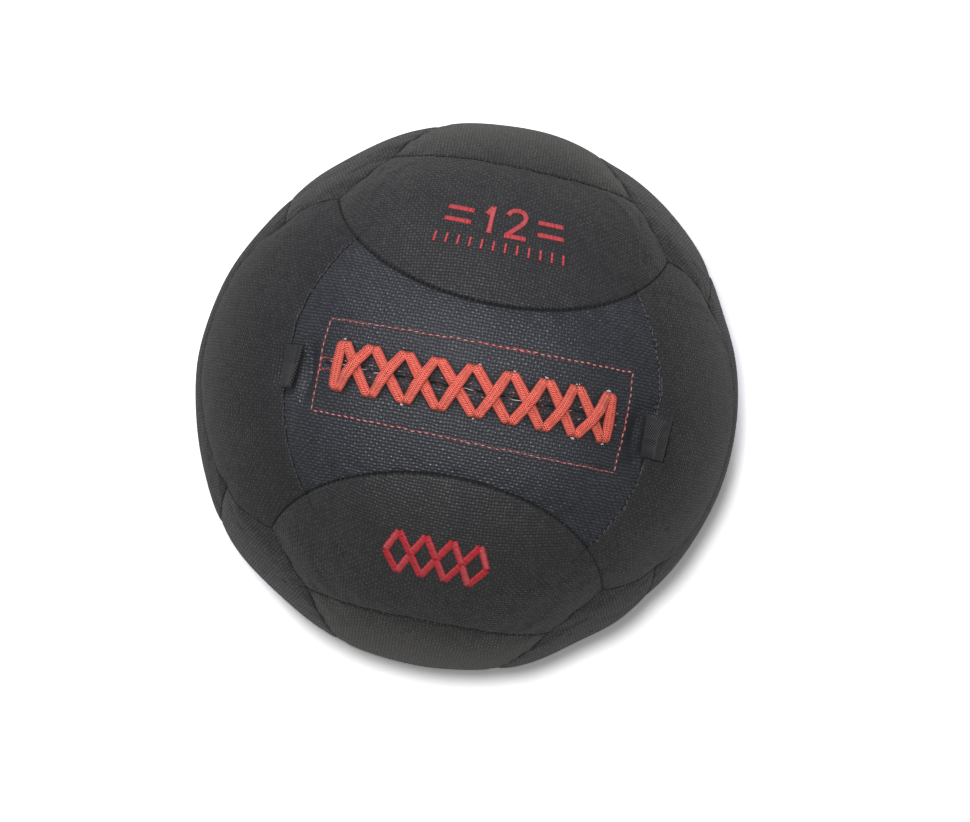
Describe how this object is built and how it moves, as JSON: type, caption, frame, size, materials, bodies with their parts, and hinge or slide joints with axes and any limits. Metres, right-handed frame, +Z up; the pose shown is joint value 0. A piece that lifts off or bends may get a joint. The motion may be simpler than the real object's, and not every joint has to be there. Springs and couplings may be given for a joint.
{
  "type": "laced wall ball",
  "caption": "Soft weighted wall ball of sewn coated-canvas panels with drawn-in seams, a laced slit with a red cord, and a webbing loop at each end of the laced panel",
  "frame": {"origin": "on the floor, straight below the centre of the ball, in the plane of the flat it rests on", "axes": "+Z up through the middle of the laced panel; +X along the lacing, towards the open webbing loop; +Y across the lacing"},
  "size_m": [0.3546, 0.3546, 0.3619],
  "materials": {
    "cover": "matte black coated canvas with a fine weave",
    "lace": "red braided cord",
    "backing": "white reinforcing cloth",
    "tongue": "black lining cloth",
    "webbing": "black woven webbing",
    "inner_bag": "grey nonwoven cloth",
    "stuffing": "white fibre fill",
    "sand_bag": "blue coated bag cloth",
    "sand": "packed iron sand",
    "tie": "black moulded tie"
  },
  "bodies": {
    "ball": {"laced_panel": "cover", "base_panel": "cover", "north_face_panel": "cover", "south_face_panel": "cover", "east_face_panel": "cover", "west_face_panel": "cover", "upper_north_panel": "cover", "upper_south_panel": "cover", "upper_east_panel": "cover", "upper_west_panel": "cover", "side_north_east_panel": "cover", "side_north_west_panel": "cover", "side_south_east_panel": "cover", "side_south_west_panel": "cover", "lower_north_panel": "cover", "lower_south_panel": "cover", "lower_east_panel": "cover", "lower_west_panel": "cover", "lace": "lace", "lace_knot": "lace", "north_backing": "backing", "south_backing": "backing", "closure_tongue": "tongue", "inner_bag": "inner_bag", "upper_stuffing": "stuffing", "lower_stuffing": "stuffing", "sand_bag": "sand_bag", "sand": "sand", "neck_tie": "tie"},
    "west_loop": {"west_webbing_loop": "webbing"},
    "east_loop": {"east_webbing_loop": "webbing"}
  },
  "joints": [
    {"name": "west_loop_fold", "type": "hinge", "parent": "ball", "child": "west_loop", "pos_m": [-0.10872, -0.00545, 0.31505], "axis": [0.0441, -0.999, -0.0047], "range_deg": [0, 144]},
    {"name": "east_loop_fold", "type": "hinge", "parent": "ball", "child": "east_loop", "pos_m": [0.10872, -0.00545, 0.31505], "axis": [0.0441, 0.999, 0.0047], "range_deg": [-12, 88]}
  ]
}
